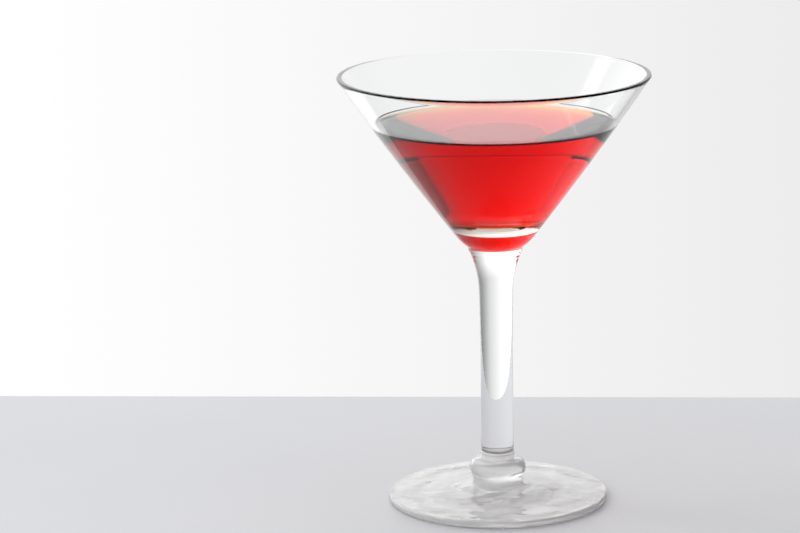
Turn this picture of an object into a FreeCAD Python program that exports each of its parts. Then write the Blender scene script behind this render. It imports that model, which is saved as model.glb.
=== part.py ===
"""A cocktail in a stemmed glass with a cone-shaped bowl, in millimetres.

The glass is one piece of clear glass: foot, button, stem and bowl. The drink is a
second piece, up to its level in the bowl. The foot's underside stands on Z = 0 and
the axis of the glass is Z, so the origin is the centre of the foot's base.

Each piece is a half section, drawn on its body's XZ plane with the radius along X
and the height along Z, and turned once round Z. Every constraint that has a size is
bound to a cell of the spreadsheet.
"""

import FreeCAD, Part
import math
import os
import Sketcher

PARTS_FOLDER = "parts"
SHEET = "Sizes"
FULL_TURN = 360.0

# The driving dimensions: name, millimetres, what it is.
DIMENSIONS = [
    ("total_height", 150.0, "underside of the foot to the top of the lip"),
    ("rim_diameter", 107.4, "outside of the lip"),
    ("lip_thickness", 1.7, "rounded lip, and so the wall just under it"),
    ("wall_taper", 0.3, "degrees between the inside and outside of the wall"),
    ("bowl_height", 59.9, "top of the lip down to the bowl's underside"),
    ("belly_diameter", 27.3, "where the straight wall turns in under the bowl"),
    ("belly_height", 3.9, "height of that turn"),
    ("floor_thickness", 9.2, "solid glass between the underside and the inside"),
    ("floor_round", 22.0, "round between the level inside floor and the wall"),
    ("seam_height", 0.8, "fine groove where the bowl joins the stem"),
    ("seam_depth", 0.12, "how far that groove goes in from the bowl's underside"),
    ("flare_diameter", 19.1, "top of the stem, under the bowl"),
    ("flare_height", 14.8, "the part of the stem that flares out"),
    ("swell", 0.28, "how much wider the stem's radius is where the flare begins"),
    ("swell_height", 22.0, "length over which the stem thickens below the flare"),
    ("stem_diameter", 11.3, "straight length of the stem"),
    ("collar_step", 0.4, "how far the collar at the stem's foot stands out"),
    ("collar_top", 16.8, "height of the collar's upper edge"),
    ("button_diameter", 19.8, "widest place of the round button"),
    ("button_middle", 11.0, "height of the button's widest place"),
    ("button_round", 3.6, "radius of the button's rounded edge"),
    ("neck_step", 1.1, "how far the neck under the button is set in"),
    ("foot_diameter", 76.4, "outside of the foot"),
    ("foot_edge", 2.5, "thickness of the foot's edge"),
    ("foot_centre", 4.6, "height of the foot's top where the neck meets it"),
    ("foot_curve", 160.0, "radius of the hollow curve along the foot's top"),
    ("edge_round", 1.0, "rounding of the foot's two edges"),
    ("neck_blend", 1.2, "fillet between the foot's top and the neck"),
    ("collar_blend", 0.16, "fillets at the collar's upper edge"),
    ("resting_ring", 8.2, "flat ring under the foot's edge that stands on the table"),
    ("hollow_depth", 1.0, "shallow hollow inside that ring, at its centre"),
    ("headspace", 16.0, "top of the lip down to the drink's level"),
    ("drink_clearance", 0.02, "between the drink and the inside of the bowl"),
]

# Sizes that follow from the driving dimensions.
WORKED_OUT = [
    ("lip_radius", "lip_thickness / 2"),
    ("lip_centre_reach", "rim_diameter / 2 - lip_radius"),
    ("lip_centre_height", "total_height - lip_radius"),
    ("underside", "total_height - bowl_height"),
    ("belly_reach", "belly_diameter / 2"),
    ("belly_top", "underside + belly_height"),
    ("wall_reach", "lip_centre_reach - belly_reach"),
    ("wall_rise", "lip_centre_height - belly_top"),
    ("wall_slant", "sqrt(wall_reach ^ 2 + wall_rise ^ 2)"),
    ("wall_lean", "atan(wall_reach / wall_rise) + asin(lip_radius / wall_slant)"),
    ("inside_lean", "wall_lean + wall_taper * 1deg"),
    ("inside_bottom", "underside + floor_thickness"),
    ("flare_radius", "flare_diameter / 2"),
    ("seam_radius", "flare_radius - seam_depth"),
    ("flare_top", "underside - seam_height"),
    ("flare_start", "flare_top - flare_height"),
    ("stem_radius", "stem_diameter / 2"),
    ("swell_radius", "stem_radius + swell"),
    ("swell_start", "flare_start - swell_height"),
    ("collar_radius", "stem_radius + collar_step"),
    ("collar_fillet", "min(collar_blend; 0.4 * collar_step)"),
    ("button_centre_reach", "button_diameter / 2 - button_round"),
    ("neck_radius", "button_diameter / 2 - neck_step"),
    ("foot_radius", "foot_diameter / 2"),
    ("foot_edge_round", "min(edge_round; 0.45 * foot_edge)"),
    ("hollow_radius", "foot_radius - resting_ring"),
    ("drink_level", "total_height - headspace"),
    ("drink_bottom", "inside_bottom + drink_clearance"),
    ("drink_lip_radius", "lip_radius + drink_clearance"),
    ("drink_round", "floor_round - drink_clearance"),
]


def fill_sheet(doc):
    """The spreadsheet that drives both bodies."""
    sheet = doc.addObject("Spreadsheet::Sheet", SHEET)
    rows = [(name, str(size), note) for name, size, note in DIMENSIONS]
    rows += [(name, "=" + formula, "worked out") for name, formula in WORKED_OUT]
    for row, (name, text, note) in enumerate(rows, start=1):
        sheet.set(f"A{row}", text)
        sheet.setAlias(f"A{row}", name)
        sheet.set(f"B{row}", note)
    doc.recompute()
    return sheet


class Piece:
    """One line or arc of a section, with its two ends in walking order."""

    def __init__(self, number, first, last):
        self.number = number
        self.first = (number, first)
        self.last = (number, last)
        self.centre = (number, 3)


class Section:
    """A half section in a body, each of its sizes bound to the spreadsheet."""

    ORIGIN = (-1, 1)
    GROUND = -1
    AXIS = -2

    def __init__(self, body, name):
        self.sheet = body.Document.getObject(SHEET)
        self.sketch = body.newObject("Sketcher::SketchObject", name)
        planes = body.Origin.OriginFeatures
        plane = next(item for item in planes if item.Role == "XZ_Plane")
        self.sketch.AttachmentSupport = [(plane, "")]
        self.sketch.MapMode = "FlatFace"
        self.constraints = []
        self.bound = {}

    def size(self, name):
        return float(getattr(self.sheet, name))

    def lean(self, piece, size):
        """The angle between a line, walked downwards, and the axis."""
        self.bound[len(self.constraints)] = size
        angle = math.radians(getattr(self.sheet, size).Value)
        self.add("Angle", *piece.last, self.AXIS, 1, angle)

    def line(self, start, end, drawn=True):
        ends = [FreeCAD.Vector(x, z, 0) for x, z in (start, end)]
        return Piece(self.sketch.addGeometry(Part.LineSegment(*ends), not drawn), 1, 2)

    def arc(self, start, end, rise, drawn=True):
        """An arc that bulges by rise to the right of the way from start to end."""
        reach, height = end[0] - start[0], end[1] - start[1]
        length = math.hypot(reach, height)
        middle = (
            (start[0] + end[0]) / 2 + rise * height / length,
            (start[1] + end[1]) / 2 - rise * reach / length,
        )
        ends = (start, end) if rise > 0 else (end, start)
        points = [FreeCAD.Vector(x, z, 0) for x, z in (ends[0], middle, ends[1])]
        number = self.sketch.addGeometry(Part.Arc(*points), not drawn)
        return Piece(number, 1, 2) if rise > 0 else Piece(number, 2, 1)

    def add(self, kind, *where):
        self.constraints.append(Sketcher.Constraint(kind, *where))

    def bind(self, kind, where, size):
        """A constraint whose value is a cell of the spreadsheet."""
        self.bound[len(self.constraints)] = size
        self.add(kind, *where, self.size(size))

    def reach(self, point, size):
        self.bind("DistanceX", self.ORIGIN + point, size)

    def height(self, point, size):
        self.bind("DistanceY", self.ORIGIN + point, size)

    def radius(self, piece, size):
        self.bind("Radius", (piece.number,), size)

    def on_axis(self, point):
        self.add("PointOnObject", *point, self.AXIS)

    def on_ground(self, point):
        self.add("PointOnObject", *point, self.GROUND)

    def join(self, *pieces):
        """Each piece starts where the one before it ends."""
        for before, after in zip(pieces, pieces[1:]):
            self.add("Coincident", *before.last, *after.first)

    def flow(self, *pieces):
        """Each piece carries on from the one before it without a corner."""
        for before, after in zip(pieces, pieces[1:]):
            self.add("Tangent", *before.last, *after.first)

    def corner(self, point):
        """The radius and height of a point as the sketch now stands."""
        spot = self.sketch.getPoint(*point)
        return spot.x, spot.y

    def turn(self, body, name):
        """The body's solid: the section turned once round the axis."""
        self.sketch.addConstraint(self.constraints)
        for number, size in self.bound.items():
            self.sketch.setExpression(f"Constraints[{number}]", f"{SHEET}.{size}")
        body.Document.recompute()
        if self.sketch.solve() != 0 or not self.sketch.FullyConstrained:
            raise RuntimeError(f"{self.sketch.Name} isn't fully constrained")
        solid = body.newObject("PartDesign::Revolution", name)
        solid.Profile = self.sketch
        solid.ReferenceAxis = (self.sketch, ["V_Axis"])
        solid.Angle = FULL_TURN
        self.sketch.Visibility = False
        body.Document.recompute()
        return solid


def inside_of_bowl(section, lip_radius, bottom, bend, drawn):
    """The lip, the inner wall, the round at its foot and the level floor, all tangent.

    The three names are cells: the drink uses its own, one clearance further in.
    """
    lip_reach = section.size("lip_centre_reach")
    lip_height = section.size("lip_centre_height")
    thick = section.size(lip_radius)
    low = section.size(bottom)
    turn_in = (section.size("belly_reach"), low + section.size("belly_height"))
    floor_edge = (0.7 * section.size("belly_reach"), low)
    top = (lip_reach - 0.8 * thick, lip_height + 0.6 * thick)
    lip = section.arc((lip_reach + 0.8 * thick, lip_height - 0.6 * thick), top, thick, drawn)
    wall = section.line(top, turn_in, drawn)
    turn = section.arc(turn_in, floor_edge, -1.0)
    floor = section.line(floor_edge, (0, low))
    section.reach(lip.centre, "lip_centre_reach")
    section.height(lip.centre, "lip_centre_height")
    section.radius(lip, lip_radius)
    section.lean(wall, "inside_lean")
    section.radius(turn, bend)
    section.add("Horizontal", floor.number)
    section.on_axis(floor.last)
    section.height(floor.last, bottom)
    section.flow(lip, wall, turn, floor)
    return lip, wall, turn, floor


def draw_foot(section):
    """Underside, edge and top of the foot, from the axis to the neck."""
    size = section.size
    centre = (0, size("hollow_depth"))
    ring_inside = (size("hollow_radius"), 0)
    ring_outside = (size("foot_radius"), 0)
    edge_top = (size("foot_radius"), size("foot_edge"))
    neck_foot = (size("neck_radius"), size("foot_centre"))
    hollow = section.arc(centre, ring_inside, -size("hollow_depth") / 4)
    ring = section.line(ring_inside, ring_outside)
    edge = section.line(ring_outside, edge_top)
    slope = section.arc(edge_top, neck_foot, -0.5)
    section.join(hollow, ring, edge, slope)
    section.on_axis(hollow.first)
    section.on_axis(hollow.centre)
    section.height(hollow.first, "hollow_depth")
    section.on_ground(ring.first)
    section.reach(ring.first, "hollow_radius")
    section.on_ground(ring.last)
    section.reach(ring.last, "foot_radius")
    section.add("Vertical", edge.number)
    section.height(edge.last, "foot_edge")
    section.reach(slope.last, "neck_radius")
    section.height(slope.last, "foot_centre")
    section.radius(slope, "foot_curve")
    return hollow, edge, slope


def draw_stem(section):
    """Neck, button, collar, stem and flare, from the foot to the bowl."""
    size = section.size
    button_low = (size("neck_radius"), size("button_middle") - size("button_round") / 2)
    button_high = (size("collar_radius"), size("button_middle") + size("button_round"))
    shoulder_out = (size("collar_radius"), size("collar_top"))
    shoulder_in = (size("stem_radius"), size("collar_top"))
    swell_low = (size("stem_radius"), size("swell_start"))
    flare_low = (size("swell_radius"), size("flare_start"))
    flare_high = (size("flare_radius"), size("flare_top"))
    seam_in = (size("seam_radius"), size("underside"))
    neck = section.line((size("neck_radius"), size("foot_centre")), button_low)
    button = section.arc(button_low, button_high, size("button_round") / 2)
    collar = section.line(button_high, shoulder_out)
    shoulder = section.line(shoulder_out, shoulder_in)
    stem = section.line(shoulder_in, swell_low)
    swell = section.line(swell_low, flare_low)
    flare = section.arc(flare_low, flare_high, -0.8)
    seam = section.line(flare_high, seam_in)
    section.join(neck, button, collar, shoulder, stem, swell)
    section.flow(swell, flare)
    section.join(flare, seam)
    for upright in (neck, collar, stem):
        section.add("Vertical", upright.number)
    section.add("Horizontal", shoulder.number)
    section.reach(button.centre, "button_centre_reach")
    section.height(button.centre, "button_middle")
    section.radius(button, "button_round")
    section.reach(collar.first, "collar_radius")
    section.height(collar.last, "collar_top")
    section.reach(stem.first, "stem_radius")
    section.height(stem.last, "swell_start")
    section.reach(swell.last, "swell_radius")
    section.height(swell.last, "flare_start")
    section.reach(flare.last, "flare_radius")
    section.height(flare.last, "flare_top")
    section.reach(seam.last, "seam_radius")
    section.height(seam.last, "underside")
    return neck, button, shoulder, seam


def round_rings(body, name, solid, corners, radius):
    """Fillets the rings that the given corners of the section sweep out."""
    names = []
    for number, edge in enumerate(solid.Shape.Edges, start=1):
        if edge.Degenerated or not isinstance(edge.Curve, Part.Circle):
            continue
        ring = (edge.Curve.Radius, edge.Curve.Center.z)
        if any(math.dist(ring, corner) < 1e-4 for corner in corners):
            names.append(f"Edge{number}")
    if len(names) != len(corners):
        raise RuntimeError(f"{name}: found {len(names)} rings of {len(corners)}")
    fillet = body.newObject("PartDesign::Fillet", name)
    fillet.Base = (solid, names)
    fillet.setExpression("Radius", f"{SHEET}.{radius}")
    body.Document.recompute()
    return fillet


def make_glass(doc):
    """Foot, stem and bowl, drawn as one closed section."""
    body = doc.addObject("PartDesign::Body", "glass")
    section = Section(body, "glass_section")
    size = section.size
    hollow, edge, slope = draw_foot(section)
    neck, button, shoulder, seam = draw_stem(section)
    lip, wall, turn, floor = inside_of_bowl(
        section, "lip_radius", "inside_bottom", "floor_round", drawn=True
    )
    belly_low = (size("seam_radius"), size("underside"))
    belly_high = (size("belly_reach"), size("belly_top"))
    belly = section.arc(belly_low, belly_high, 0.4)
    outside = section.line(belly_high, section.corner(lip.first))
    axis = section.line((0, size("inside_bottom")), (0, size("hollow_depth")))
    section.reach(belly.last, "belly_reach")
    section.height(belly.last, "belly_top")
    section.join(seam, belly)
    section.flow(belly, outside, lip)
    section.join(slope, neck)
    section.join(floor, axis, hollow)
    solid = section.turn(body, "glass_turned")
    foot_edges = [section.corner(edge.first), section.corner(edge.last)]
    solid = round_rings(body, "foot_edges", solid, foot_edges, "foot_edge_round")
    solid = round_rings(body, "neck_fillet", solid, [section.corner(neck.first)], "neck_blend")
    collar_edges = [section.corner(shoulder.first), section.corner(shoulder.last)]
    round_rings(body, "collar_fillets", solid, collar_edges, "collar_fillet")
    return body


def make_drink(doc):
    """The drink, from the bowl's floor up to its level."""
    body = doc.addObject("PartDesign::Body", "drink")
    section = Section(body, "drink_section")
    lip, wall, turn, floor = inside_of_bowl(
        section, "drink_lip_radius", "drink_bottom", "drink_round", drawn=False
    )
    level = section.size("drink_level")
    turn_in = section.corner(turn.first)
    reach = section.size("lip_centre_reach") * level / section.size("lip_centre_height")
    side = section.line((reach, level), turn_in)
    surface = section.line((0, level), (reach, level))
    axis = section.line((0, section.size("drink_bottom")), (0, level))
    section.add("PointOnObject", *side.first, wall.number)
    section.join(surface, side, turn)
    section.join(floor, axis, surface)
    section.height(lip.first, "lip_centre_height")
    section.height(side.first, "drink_level")
    section.add("Horizontal", surface.number)
    section.add("Vertical", axis.number)
    section.turn(body, "drink_turned")
    return body


def check(doc, bodies):
    """Stops if an object failed or a body isn't one sound solid."""
    for item in doc.Objects:
        if "Invalid" in item.State or "Error" in item.State:
            raise RuntimeError(f"{item.Name} failed: {item.State}")
    for body in bodies:
        shape = body.Shape
        if shape.isNull() or not shape.isValid() or len(shape.Solids) != 1:
            raise RuntimeError(f"{body.Label} isn't one valid solid")


def main():
    doc = FreeCAD.newDocument("cocktail")
    fill_sheet(doc)
    bodies = [make_glass(doc), make_drink(doc)]
    doc.recompute()
    check(doc, bodies)
    os.makedirs(PARTS_FOLDER, exist_ok=True)
    for body in bodies:
        body.Shape.exportStep(os.path.join(PARTS_FOLDER, f"{body.Label}.step"))
        box = body.Shape.BoundBox
        size = f"{box.XLength:.2f} x {box.YLength:.2f} x {box.ZLength:.2f} mm"
        print(f"{body.Label}: {size}, {body.Shape.Volume / 1000:.2f} ml")


main()
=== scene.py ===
"""Looks of a red cocktail in a stemmed glass: the glass, the drink, a table and soft light."""

import math

import bmesh
import bpy
from mathutils import Matrix, Vector


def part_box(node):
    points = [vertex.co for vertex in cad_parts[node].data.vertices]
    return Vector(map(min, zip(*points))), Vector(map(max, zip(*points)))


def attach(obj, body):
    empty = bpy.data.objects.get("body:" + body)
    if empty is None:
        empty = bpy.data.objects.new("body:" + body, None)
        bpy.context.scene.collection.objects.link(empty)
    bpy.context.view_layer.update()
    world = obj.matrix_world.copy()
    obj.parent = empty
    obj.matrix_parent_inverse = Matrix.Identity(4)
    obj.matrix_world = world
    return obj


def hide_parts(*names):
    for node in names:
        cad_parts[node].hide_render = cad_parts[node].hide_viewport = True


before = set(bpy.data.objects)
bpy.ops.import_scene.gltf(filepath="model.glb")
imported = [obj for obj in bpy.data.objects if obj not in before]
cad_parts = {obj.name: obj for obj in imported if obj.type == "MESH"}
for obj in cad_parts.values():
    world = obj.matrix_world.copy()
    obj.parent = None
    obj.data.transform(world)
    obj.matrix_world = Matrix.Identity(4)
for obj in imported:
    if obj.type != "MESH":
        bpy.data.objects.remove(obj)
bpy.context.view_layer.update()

bl_info = {
    "name": "Stemmed Cocktail Glass",
    "version": (1, 0, 0),
    "blender": (4, 5, 0),
    "location": "3D View > Sidebar > Cocktail",
    "description": "Makes a cone-bowled cocktail glass, its drink and a bright table top",
    "category": "Add Mesh",
}

_, GLASS_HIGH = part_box("glass")
DRINK_LOW, DRINK_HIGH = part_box("drink")
MM = 0.001
TURN_STEPS = 256
FULL_TURN = 2.0 * math.pi
WELD = 1e-6

# The glass up to here, with its button and collar, has the foot's finish.
FOOT_TOP = 17.2 * MM
CLEAR, WETTED, FOOT = range(3)

# Bulge of an arc, as a share of the hollow's depth, the collar's step and the
# meniscus's width.
HOLLOW_BOW = 0.25
COLLAR_BOW = 0.125
MENISCUS_BOW = 0.22

# Fine texture: its scale, the roughness it swings between, and any relief.
GLASS_GRAIN = {"scale": 60.0, "low": 0.0, "high": 0.004, "bump": 0.02, "distance": 0.02 * MM}
FOOT_GRAIN = {"scale": 85.0, "low": 0.0, "high": 0.05, "bump": 0.8, "distance": 0.8 * MM}
DRINK_GRAIN = {"scale": 40.0, "low": 0.0, "high": 0.003, "bump": 0.02, "distance": 0.02 * MM}
STONE_GRAIN = {"scale": 9.0, "low": 0.4, "high": 0.55}
FOOT_RIPPLES = {"scale": 25.0, "twist": 4.0, "bump": 1.0, "distance": 0.4 * MM}
GRAIN_DETAIL = 2.0
RIPPLE_DETAIL = 2.0
RIPPLE_DETAIL_SCALE = 2.5

# How much of its white reflection each finish keeps. Where drink and glass meet, a
# reflection would be false.
CLEAR_SHEEN = 0.1
WETTED_SHEEN = 0.0
FOOT_SHEEN = 0.8

# Share of the foot that is clear glass; the rest is a white haze.
FOOT_CLEAR = 0.7

GLASS_IOR = 1.52
DRINK_IOR = 1.345
WHITE = (1.0, 1.0, 1.0)

# The stage, in metres and degrees. The slab's back edge is turned a little, and its top
# lies a hair below the glass so that the two surfaces don't meet.
SLAB_SIZE = (2.4, 1.8, 0.03)
SLAB_EDGE = 4.0 * MM
SLAB_TURN = -4.15
SLAB_BACK = 137.6 * MM
SLAB_GAP = 0.08 * MM

WINDOW_PLACE = (-1.2, 0.5, 1.3)
WINDOW_AIM = (0.0, 0.0, 0.05)
WINDOW_SIZE = (0.35, 0.9)

CAMERA_PLACE = (-33.05 * MM, -1094.3 * MM, 332.4 * MM)
CAMERA_DOWN = 12.821
CAMERA_LEAN = -0.976
LENS = 146.25
SENSOR = 36.0

# The light from each way is the product of these ramps: the axis of the direction, where
# the ramp starts and ends along it, and the strength of the light at its two ends.
PAPER = (
    ("Y", -0.6, 0.2, 0.5, 1.0),
    ("X", -1.0, 1.0, 1.6, 0.25),
    ("X", 0.3, 0.8, 1.0, 0.6),
    ("X", -0.95, -0.8, 0.55, 1.0),
    ("Z", -0.05, 0.2, 1.0, 1.5),
)


def length(name, description, millimetres):
    """A size of the model that can be set in the sidebar."""
    return bpy.props.FloatProperty(
        name=name,
        description=description,
        default=millimetres * MM,
        min=0.0,
        precision=5,
        subtype="DISTANCE",
        unit="LENGTH",
    )


def colour(name, description, value):
    """A colour that can be set in the sidebar."""
    return bpy.props.FloatVectorProperty(
        name=name, description=description, default=value, size=3, subtype="COLOR"
    )


class GlassSettings(bpy.types.PropertyGroup):
    """Sizes and finish of the glass. Reaches are measured from the axis."""

    wall: length("Wall", "Thickness of the bowl's wall", 1.7)
    lip_round: length("Lip Round", "Rounding of the level lip's two edges", 0.5)
    wall_bow: length("Wall Bow", "How far the bowl's wall bows outwards", 0.5)
    underside: length("Underside", "Height of the bowl's underside", 90.1)
    belly: length("Belly", "Height of the turn under the bowl's wall", 3.9)
    belly_reach: length("Belly Reach", "Reach of the wall above that turn", 13.65)
    belly_bulge: length("Belly Bulge", "How far the belly bulges", 0.28)
    floor: length("Floor", "Solid glass under the inside of the bowl", 9.2)
    floor_round: length("Floor Round", "Round between the bowl's inside floor and its wall", 22.0)
    seam: length("Seam", "Height of the fine groove between stem and bowl", 0.8)
    seam_depth: length("Seam Depth", "Depth of that groove", 0.12)
    flare: length("Flare", "Reach of the stem's top", 9.55)
    flare_height: length("Flare Height", "Height of the stem's flare", 14.8)
    flare_sag: length("Flare Sag", "Hollow of the flare's curve", 0.87)
    stem: length("Stem", "Reach of the stem's straight length", 5.65)
    swell: length("Swell", "How much the stem thickens below the flare", 0.28)
    swell_height: length("Swell Height", "Length over which it thickens", 22.0)
    collar_step: length("Collar Step", "How far the collar stands out", 0.4)
    collar_top: length("Collar Top", "Height of the collar's upper edge", 16.8)
    button: length("Button", "Reach of the round button", 9.9)
    button_middle: length("Button Middle", "Height of the button's widest place", 11.0)
    button_round: length("Button Round", "Radius of the button's edge", 3.6)
    neck_step: length("Neck Step", "How far the neck is set in under the button", 1.1)
    blend: length("Blend", "Fillet between the neck and the foot", 1.2)
    foot: length("Foot", "Reach of the foot", 38.2)
    foot_edge: length("Foot Edge", "Thickness of the foot's edge", 2.5)
    foot_centre: length("Foot Centre", "Height of the foot's top at the neck", 4.6)
    foot_sag: length("Foot Sag", "Hollow of the foot's top", 0.6)
    edge_round: length("Edge Round", "Rounding of the foot's edge", 1.0)
    ring: length("Ring", "Width of the flat ring the foot stands on", 8.2)
    hollow: length("Hollow", "Depth of the hollow under the foot", 1.0)
    tint: colour("Tint", "Colour of the glass", (0.985, 0.99, 0.99))


class DrinkSettings(bpy.types.PropertyGroup):
    """Sizes and colour of the drink."""

    overlap: length("Overlap", "How far the drink reaches into the wall", 0.15)
    meniscus: length("Meniscus", "Rise of the drink at the wall", 0.5)
    meniscus_width: length("Meniscus Width", "Width of that rise", 2.0)
    tint: colour("Tint", "What the drink lets through", (0.982, 0.62, 0.0))
    strength: bpy.props.FloatProperty(
        name="Strength", description="How strongly the drink absorbs", default=500.0, min=0.0
    )


class StageSettings(bpy.types.PropertyGroup):
    """Table top and light round the glass."""

    top: colour("Table Top", "Colour of the table top", (0.54, 0.545, 0.57))
    key: bpy.props.FloatProperty(
        name="Window Light",
        description="Power of the soft light from the left",
        default=3.0,
        min=0.0,
        unit="POWER",
    )


class Outline:
    """A half section drawn vertex by vertex in the XZ plane, then spun round Z."""

    def __init__(self, reach, height):
        self.mesh = bmesh.new()
        self.tip = self.mesh.verts.new((reach, 0.0, height))

    def line_to(self, reach, height, steps=1):
        """A straight line to a point, cut into equal steps."""
        start = self.tip.co.copy()
        end = Vector((reach, 0.0, height))
        for step in range(1, steps + 1):
            made = bmesh.ops.extrude_vert_indiv(self.mesh, verts=[self.tip])
            self.tip = made["verts"][0]
            self.tip.co = start.lerp(end, step / steps)

    def turn_about(self, reach, height, degrees, steps):
        """An arc round a centre; a positive angle turns from X towards Z."""
        made = bmesh.ops.spin(
            self.mesh,
            geom=[self.tip],
            cent=(reach, 0.0, height),
            axis=(0.0, 1.0, 0.0),
            dvec=(0.0, 0.0, 0.0),
            angle=-math.radians(degrees),
            steps=steps,
            use_merge=False,
            use_normal_flip=False,
            use_duplicate=False,
        )
        ends = made["geom_last"]
        self.tip = next(item for item in ends if isinstance(item, bmesh.types.BMVert))

    def sag(self, end, radius):
        """How far an arc of that radius bulges between the tip and an end."""
        half = (end - self.tip.co).length / 2.0
        return radius - math.sqrt(radius * radius - half * half)

    def bow_to(self, reach, height, rise, steps):
        """An arc to a point; it bulges to the right of its way by rise."""
        start = self.tip.co.copy()
        way = Vector((reach, 0.0, height)) - start
        half = way.length / 2.0
        right = Vector((way.z, 0.0, -way.x)).normalized()
        radius = (half * half + rise * rise) / (2.0 * rise)
        centre = start + way / 2.0 + right * (rise - radius)
        self.turn_about(centre.x, centre.z, math.degrees(4.0 * math.atan(rise / half)), steps)
        self.tip.co = (reach, 0.0, height)

    def spun(self, name):
        """The outline turned once round Z, as a closed mesh object."""
        mesh = self.mesh
        bmesh.ops.spin(
            mesh,
            geom=mesh.verts[:] + mesh.edges[:],
            cent=(0.0, 0.0, 0.0),
            axis=(0.0, 0.0, 1.0),
            dvec=(0.0, 0.0, 0.0),
            angle=FULL_TURN,
            steps=TURN_STEPS,
            use_merge=True,
            use_normal_flip=False,
            use_duplicate=False,
        )
        bmesh.ops.remove_doubles(mesh, verts=mesh.verts[:], dist=WELD)
        bmesh.ops.recalc_face_normals(mesh, faces=mesh.faces[:])
        if mesh.calc_volume(signed=True) < 0.0:
            bmesh.ops.reverse_faces(mesh, faces=mesh.faces[:])
        for face in mesh.faces:
            face.smooth = True
        data = bpy.data.meshes.new(name)
        mesh.to_mesh(data)
        mesh.free()
        piece = bpy.data.objects.new(name, data)
        bpy.context.scene.collection.objects.link(piece)
        return piece


def lip_edge(settings):
    """Centre of the round on the lip's outer edge."""
    edge = settings.lip_round
    return Vector((GLASS_HIGH.x - edge, 0.0, GLASS_HIGH.z - edge))


def wall_circle(settings):
    """Centre and radius of the slight curve that the outside of the bowl's wall follows."""
    foot = Vector((settings.belly_reach, 0.0, settings.underside + settings.belly))
    way = lip_edge(settings) - foot
    chord = way.length
    radius = chord * chord / (8.0 * settings.wall_bow)
    along = (radius**2 - (radius - settings.lip_round) ** 2 + chord**2) / (2.0 * chord)
    aside = math.sqrt(radius**2 - along**2)
    left = Vector((-way.z, 0.0, way.x)).normalized()
    return foot + way.normalized() * along + left * aside, radius


def draw_foot(outline, settings):
    """The hollow underside, the rounded edge and the top of the foot."""
    edge = settings.foot - settings.edge_round
    edge_top = settings.foot_edge - settings.edge_round
    blend = settings.button - settings.neck_step + settings.blend
    hollow = -HOLLOW_BOW * settings.hollow
    outline.bow_to(settings.foot - settings.ring, 0.0, hollow, steps=24)
    outline.line_to(edge, 0.0)
    outline.turn_about(edge, settings.edge_round, 90.0, steps=10)
    outline.line_to(settings.foot, edge_top)
    outline.turn_about(edge, edge_top, 90.0, steps=10)
    outline.bow_to(blend, settings.foot_centre, -settings.foot_sag, steps=40)
    outline.turn_about(blend, settings.foot_centre + settings.blend, -90.0, steps=8)


def draw_stem(outline, settings):
    """Neck, button, collar, stem and flare."""
    neck = settings.button - settings.neck_step
    collar = settings.stem + settings.collar_step
    centre = settings.button - settings.button_round
    start = math.acos((neck - centre) / settings.button_round)
    end = math.acos((collar - centre) / settings.button_round)
    low = settings.button_middle - settings.button_round * math.sin(start)
    outline.line_to(neck, low)
    outline.turn_about(centre, settings.button_middle, math.degrees(start + end), steps=28)
    step = settings.collar_step
    bow = COLLAR_BOW * step
    outline.line_to(collar, settings.collar_top - step / 2.0)
    outline.bow_to(collar - step / 2.0, settings.collar_top, bow, steps=4)
    outline.bow_to(settings.stem, settings.collar_top + step, -bow, steps=4)
    flare_top = settings.underside - settings.seam
    flare_start = flare_top - settings.flare_height
    outline.line_to(settings.stem, flare_start - settings.swell_height, steps=12)
    outline.line_to(settings.stem + settings.swell, flare_start, steps=8)
    outline.bow_to(settings.flare, flare_top, -settings.flare_sag, steps=24)
    outline.line_to(settings.flare - settings.seam_depth, settings.underside)


def draw_bowl(outline, settings):
    """Belly, wall, lip and the inside of the bowl, down to its floor on the axis."""
    edge = settings.lip_round
    outer = lip_edge(settings)
    centre, radius = wall_circle(settings)
    inside = radius - settings.wall
    rise = centre.z - outer.z
    inner = Vector((centre.x + math.sqrt((inside + edge) ** 2 - rise**2), 0.0, outer.z))
    start = outer + (outer - centre).normalized() * edge
    bend = 90.0 - math.degrees(math.atan2(outer.z - centre.z, outer.x - centre.x))
    belly_top = settings.underside + settings.belly
    outline.bow_to(settings.belly_reach, belly_top, settings.belly_bulge, steps=14)
    outline.bow_to(start.x, start.z, outline.sag(start, radius), steps=48)
    outline.turn_about(outer.x, outer.z, bend, steps=10)
    outline.line_to(inner.x, inner.z + edge, steps=2)
    outline.turn_about(inner.x, inner.z, 180.0 - bend, steps=14)
    bottom = settings.underside + settings.floor
    close_on_floor(outline, centre, inside, bottom, settings.floor_round)


def close_on_floor(outline, centre, radius, bottom, bend):
    """From the tip down a wall curve, round a bend and along a level floor to the axis."""
    level = bottom + bend
    reach = centre.x + math.sqrt((radius - bend) ** 2 - (centre.z - level) ** 2)
    middle = Vector((reach, 0.0, level))
    out = (middle - centre).normalized()
    edge = middle + out * bend
    outline.bow_to(edge.x, edge.z, -outline.sag(edge, radius), steps=48)
    outline.turn_about(reach, level, -math.degrees(math.atan2(out.x, -out.z)), steps=20)
    outline.line_to(0.0, bottom, steps=10)


def draw_drink(glass, settings):
    """The drink's section: surface, meniscus, side and rounded bottom."""
    centre, radius = wall_circle(glass)
    side = radius - glass.wall + settings.overlap
    bottom = glass.underside + glass.floor - settings.overlap
    top = DRINK_HIGH.z
    level = top - settings.meniscus
    wall_top = centre.x + math.sqrt(side**2 - (centre.z - top) ** 2)
    flat = wall_top - settings.overlap - settings.meniscus_width
    outline = Outline(0.0, level)
    outline.line_to(flat, level, steps=12)
    outline.bow_to(wall_top, top, MENISCUS_BOW * settings.meniscus_width, steps=12)
    close_on_floor(outline, centre, side, bottom, glass.floor_round + settings.overlap)
    return outline


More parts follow.
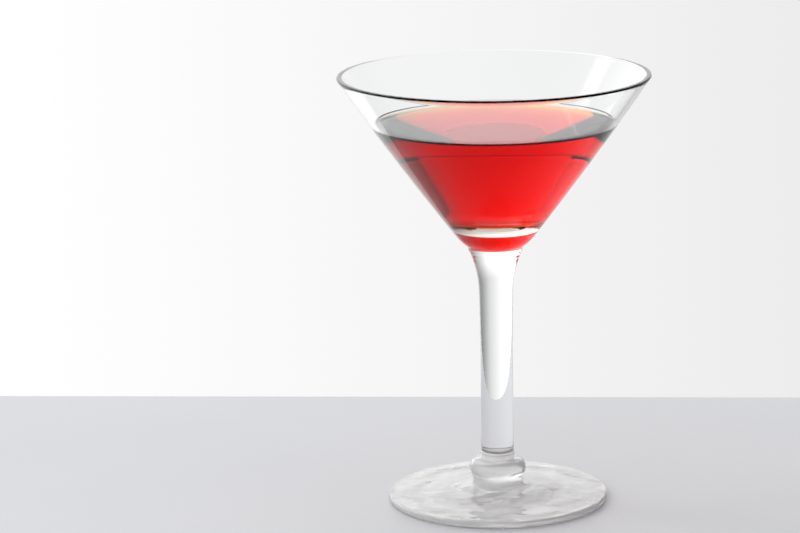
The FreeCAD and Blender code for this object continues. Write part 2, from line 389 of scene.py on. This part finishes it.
def set_inputs(node, **inputs):
    """Sets a node's own sockets; base_color stands for Base Color, and so on."""
    for key, value in inputs.items():
        node.inputs[key.replace("_", " ").title().replace("Ior", "IOR")].default_value = value


def shader(name, **inputs):
    """A material with one Principled shader; inputs are set on its own sockets."""
    material = bpy.data.materials.new(name)
    material.use_nodes = True
    node = material.node_tree.nodes["Principled BSDF"]
    set_inputs(node, **inputs)
    return material, node


def texture(tree, kind, **inputs):
    """A texture node on Object coordinates."""
    place = tree.nodes.new("ShaderNodeTexCoord")
    pattern = tree.nodes.new(kind)
    set_inputs(pattern, **inputs)
    tree.links.new(place.outputs["Object"], pattern.inputs["Vector"])
    return pattern


def emboss(tree, node, pattern, strength, distance):
    """Relief from a pattern, on top of any that the shader already has."""
    relief = tree.nodes.new("ShaderNodeBump")
    set_inputs(relief, strength=strength, distance=distance)
    tree.links.new(pattern.outputs["Fac"], relief.inputs["Height"])
    for link in node.inputs["Normal"].links:
        tree.links.new(link.from_socket, relief.inputs["Normal"])
    tree.links.new(relief.outputs["Normal"], node.inputs["Normal"])


def uneven(material, node, scale, low, high, bump=0.0, distance=0.0):
    """Fine unevenness of roughness, with relief where bump is above 0."""
    tree = material.node_tree
    noise = texture(tree, "ShaderNodeTexNoise", scale=scale, detail=GRAIN_DETAIL)
    spread = tree.nodes.new("ShaderNodeMapRange")
    set_inputs(spread, to_min=low, to_max=high)
    tree.links.new(noise.outputs["Fac"], spread.inputs["Value"])
    tree.links.new(spread.outputs["Result"], node.inputs["Roughness"])
    if bump > 0.0:
        emboss(tree, node, noise, bump, distance)


def rippled(material, node, scale, twist, bump, distance):
    """Rings of shallow uneven ripples about Z, as in pressed glass."""
    tree = material.node_tree
    wave = texture(
        tree,
        "ShaderNodeTexWave",
        scale=scale,
        distortion=twist,
        detail=RIPPLE_DETAIL,
        detail_scale=RIPPLE_DETAIL_SCALE,
    )
    wave.wave_type = "RINGS"
    wave.rings_direction = "Z"
    emboss(tree, node, wave, bump, distance)


def glass_material(name, tint, sheen, grain, clear=1.0):
    """Glass with a tinted sheen; clear is its share of clear glass, and the rest is haze."""
    material, node = shader(
        name,
        base_color=(*tint, 1.0),
        transmission_weight=clear,
        ior=GLASS_IOR,
        roughness=0.0,
        specular_tint=(sheen, sheen, sheen, 1.0),
    )
    uneven(material, node, **grain)
    return material, node


def drink_material(settings):
    """Clear liquid that takes its colour from how far light goes through it."""
    material, node = shader(
        "red drink",
        base_color=(*WHITE, 1.0),
        transmission_weight=1.0,
        ior=DRINK_IOR,
        roughness=0.0,
        specular_tint=(0.0, 0.0, 0.0, 1.0),
    )
    tree = material.node_tree
    soak = tree.nodes.new("ShaderNodeVolumeAbsorption")
    set_inputs(soak, color=(*settings.tint, 1.0), density=settings.strength)
    tree.links.new(soak.outputs["Volume"], tree.nodes["Material Output"].inputs["Volume"])
    uneven(material, node, **DRINK_GRAIN)
    return material


def glass_finishes(settings):
    """The finishes of the glass, in the order of CLEAR, WETTED and FOOT."""
    clear, _ = glass_material("clear glass", settings.tint, CLEAR_SHEEN, GLASS_GRAIN)
    wetted, _ = glass_material("wetted glass", settings.tint, WETTED_SHEEN, GLASS_GRAIN)
    foot, node = glass_material(
        "hazy glass of the foot", WHITE, FOOT_SHEEN, FOOT_GRAIN, clear=FOOT_CLEAR
    )
    rippled(foot, node, **FOOT_RIPPLES)
    return clear, wetted, foot


def finish_of(face):
    """The foot's finish low down, wetted inside the bowl below the drink, clear elsewhere."""
    middle = face.center
    inward = middle.x * face.normal.x + middle.y * face.normal.y < 0.0
    if middle.z < FOOT_TOP:
        return FOOT
    if inward and DRINK_LOW.z - MM < middle.z < DRINK_HIGH.z - MM:
        return WETTED
    return CLEAR


class COCKTAIL_OT_glass(bpy.types.Operator):
    """Makes the glass as one closed shell"""

    bl_idname = "cocktail.make_glass"
    bl_label = "Make Glass"
    bl_options = {"REGISTER", "UNDO"}

    def execute(self, context):
        settings = context.scene.cocktail_glass
        outline = Outline(0.0, settings.hollow)
        draw_foot(outline, settings)
        draw_stem(outline, settings)
        draw_bowl(outline, settings)
        piece = outline.spun("cocktail_glass")
        for material in glass_finishes(settings):
            piece.data.materials.append(material)
        for face in piece.data.polygons:
            face.material_index = finish_of(face)
        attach(piece, "root")
        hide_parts("glass")
        return {"FINISHED"}


class COCKTAIL_OT_drink(bpy.types.Operator):
    """Pours the drink, a little into the wall all round so that no air shows"""

    bl_idname = "cocktail.pour_drink"
    bl_label = "Pour Drink"
    bl_options = {"REGISTER", "UNDO"}

    def execute(self, context):
        glass = context.scene.cocktail_glass
        settings = context.scene.cocktail_drink
        piece = draw_drink(glass, settings).spun("cocktail_drink")
        piece.data.materials.append(drink_material(settings))
        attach(piece, "root")
        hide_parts("drink")
        return {"FINISHED"}


def table_top(settings):
    """A thick slab whose long back edge shows behind the glass."""
    mesh = bmesh.new()
    bmesh.ops.create_cube(mesh, size=1.0)
    bmesh.ops.scale(mesh, verts=mesh.verts[:], vec=SLAB_SIZE)
    middle = Vector((0.0, -SLAB_SIZE[1] / 2.0, -SLAB_SIZE[2] / 2.0))
    bmesh.ops.translate(mesh, verts=mesh.verts[:], vec=middle)
    bmesh.ops.bevel(
        mesh,
        geom=mesh.edges[:],
        offset=SLAB_EDGE,
        offset_type="OFFSET",
        segments=6,
        profile=0.5,
        affect="EDGES",
        material=-1,
    )
    turn = Matrix.Rotation(math.radians(SLAB_TURN), 4, "Z")
    bmesh.ops.transform(mesh, matrix=turn, verts=mesh.verts[:])
    bmesh.ops.translate(mesh, verts=mesh.verts[:], vec=(0.0, SLAB_BACK, -SLAB_GAP))
    for face in mesh.faces:
        face.smooth = True
    data = bpy.data.meshes.new("table_top")
    mesh.to_mesh(data)
    mesh.free()
    slab = bpy.data.objects.new("table_top", data)
    bpy.context.scene.collection.objects.link(slab)
    material, node = shader("pale stone", base_color=(*settings.top, 1.0))
    uneven(material, node, **STONE_GRAIN)
    slab.data.materials.append(material)


def soft_light(name, place, aim, size, power):
    """A tall area light that faces a point."""
    data = bpy.data.lights.new(name, "AREA")
    data.shape = "RECTANGLE"
    data.size, data.size_y = size
    data.energy = power
    lamp = bpy.data.objects.new(name, data)
    lamp.location = place
    lamp.rotation_euler = (Vector(place) - Vector(aim)).to_track_quat("Z", "Y").to_euler()
    bpy.context.scene.collection.objects.link(lamp)


def backdrop():
    """Bright paper all round: white behind the glass and dimmer behind the viewer."""
    world = bpy.data.worlds.new("bright paper")
    bpy.context.scene.world = world
    world.use_nodes = True
    tree = world.node_tree
    place = tree.nodes.new("ShaderNodeTexCoord")
    split = tree.nodes.new("ShaderNodeSeparateXYZ")
    tree.links.new(place.outputs["Generated"], split.inputs["Vector"])
    whole = tree.nodes["Background"].inputs["Strength"]
    for axis, start, end, first, last in PAPER:
        ramp = tree.nodes.new("ShaderNodeMapRange")
        set_inputs(ramp, from_min=start, from_max=end, to_min=first, to_max=last)
        both = tree.nodes.new("ShaderNodeMath")
        both.operation = "MULTIPLY"
        both.inputs[1].default_value = 1.0
        tree.links.new(split.outputs[axis], ramp.inputs["Value"])
        tree.links.new(ramp.outputs["Result"], both.inputs[0])
        tree.links.new(both.outputs["Value"], whole)
        whole = both.inputs[1]
    set_inputs(tree.nodes["Background"], color=(*WHITE, 1.0))


def place_camera():
    """A long lens, a little above the glass, that looks down on it and leans slightly."""
    data = bpy.data.cameras.new("camera")
    data.sensor_width = SENSOR
    data.lens = LENS
    camera = bpy.data.objects.new("camera", data)
    camera.location = CAMERA_PLACE
    tilt = Matrix.Rotation(math.radians(90.0 - CAMERA_DOWN), 4, "X")
    lean = Matrix.Rotation(math.radians(CAMERA_LEAN), 4, "Z")
    camera.rotation_euler = (tilt @ lean).to_euler()
    bpy.context.scene.collection.objects.link(camera)
    bpy.context.scene.camera = camera


class COCKTAIL_OT_stage(bpy.types.Operator):
    """Sets the table top, the light and the camera"""

    bl_idname = "cocktail.set_stage"
    bl_label = "Set Stage"
    bl_options = {"REGISTER", "UNDO"}

    def execute(self, context):
        settings = context.scene.cocktail_stage
        table_top(settings)
        soft_light("window", WINDOW_PLACE, WINDOW_AIM, WINDOW_SIZE, settings.key)
        backdrop()
        place_camera()
        context.scene.view_settings.view_transform = "Standard"
        return {"FINISHED"}


class COCKTAIL_PT_panel(bpy.types.Panel):
    """The steps, in the sidebar of the 3D view"""

    bl_label = "Cocktail"
    bl_idname = "COCKTAIL_PT_panel"
    bl_space_type = "VIEW_3D"
    bl_region_type = "UI"
    bl_category = "Cocktail"

    def draw(self, context):
        for step in STEPS:
            self.layout.operator(step.bl_idname)


SETTINGS = {
    "cocktail_glass": GlassSettings,
    "cocktail_drink": DrinkSettings,
    "cocktail_stage": StageSettings,
}
STEPS = (COCKTAIL_OT_glass, COCKTAIL_OT_drink, COCKTAIL_OT_stage)


def register():
    for item in (*SETTINGS.values(), *STEPS, COCKTAIL_PT_panel):
        bpy.utils.register_class(item)
    for name, group in SETTINGS.items():
        setattr(bpy.types.Scene, name, bpy.props.PointerProperty(type=group))


def unregister():
    for name in SETTINGS:
        delattr(bpy.types.Scene, name)
    for item in (*SETTINGS.values(), *STEPS, COCKTAIL_PT_panel):
        bpy.utils.unregister_class(item)


def main():
    register()
    bpy.ops.cocktail.make_glass()
    bpy.ops.cocktail.pour_drink()
    bpy.ops.cocktail.set_stage()


if __name__ == "__main__":
    main()
